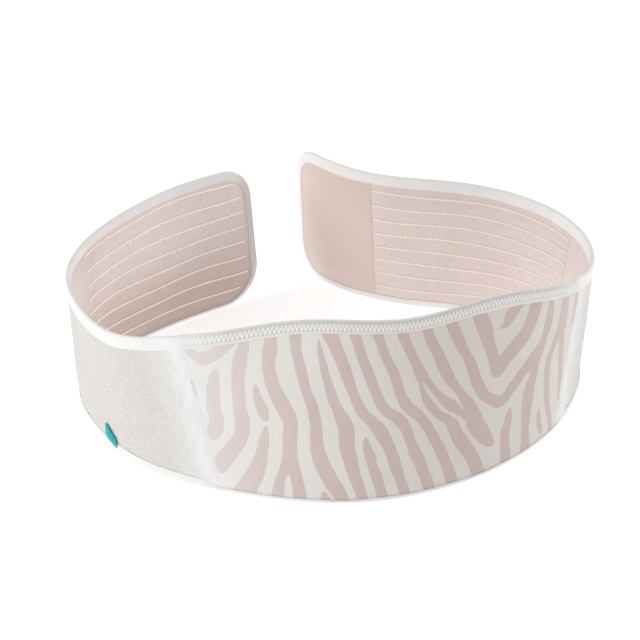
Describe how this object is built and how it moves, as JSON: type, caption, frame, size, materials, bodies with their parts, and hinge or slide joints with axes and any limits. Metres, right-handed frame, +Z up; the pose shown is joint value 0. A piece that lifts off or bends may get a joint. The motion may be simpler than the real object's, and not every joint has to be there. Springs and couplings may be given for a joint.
{
  "type": "maternity support belt",
  "caption": "Open maternity support belt standing on its lower edge: striped printed front panel, brushed loop wings, channelled lining, hook patch and bound edges.",
  "frame": {"origin": "middle of the belt's box, on the floor that the belt stands on", "axes": "+X across the belt from its left side to its right side, +Y from the printed front to the free ends at the back, +Z up from the lower edge"},
  "size_m": [0.4664, 0.4108, 0.1518],
  "materials": {
    "printed_cloth": "fine knit printed with wavy pale pink and off-white stripes",
    "loop_cloth": "brushed cream loop pile",
    "seam_tape": "smooth white woven tape",
    "lining": "smooth pale pink knit",
    "channel_lining": "pale pink ribbed knit with cream channel stitching",
    "hook_cloth": "pale pink hook tape",
    "elastic_trim": "greyish white elastic with zigzag stitching",
    "binding_tape": "smooth white folded tape",
    "tag_tape": "plain teal ribbon"
  },
  "bodies": {
    "root": {"centre_panel": "printed_cloth", "loop_panel_left": "loop_cloth", "loop_panel_right": "loop_cloth", "seam_tape_left": "seam_tape", "seam_tape_right": "seam_tape", "lining_centre": "lining", "lining_left": "channel_lining", "lining_right": "channel_lining", "hook_patch": "hook_cloth", "top_trim": "elastic_trim", "binding_left": "binding_tape", "binding_lower": "binding_tape", "binding_right": "binding_tape", "edge_tag": "tag_tape"}
  },
  "joints": []
}
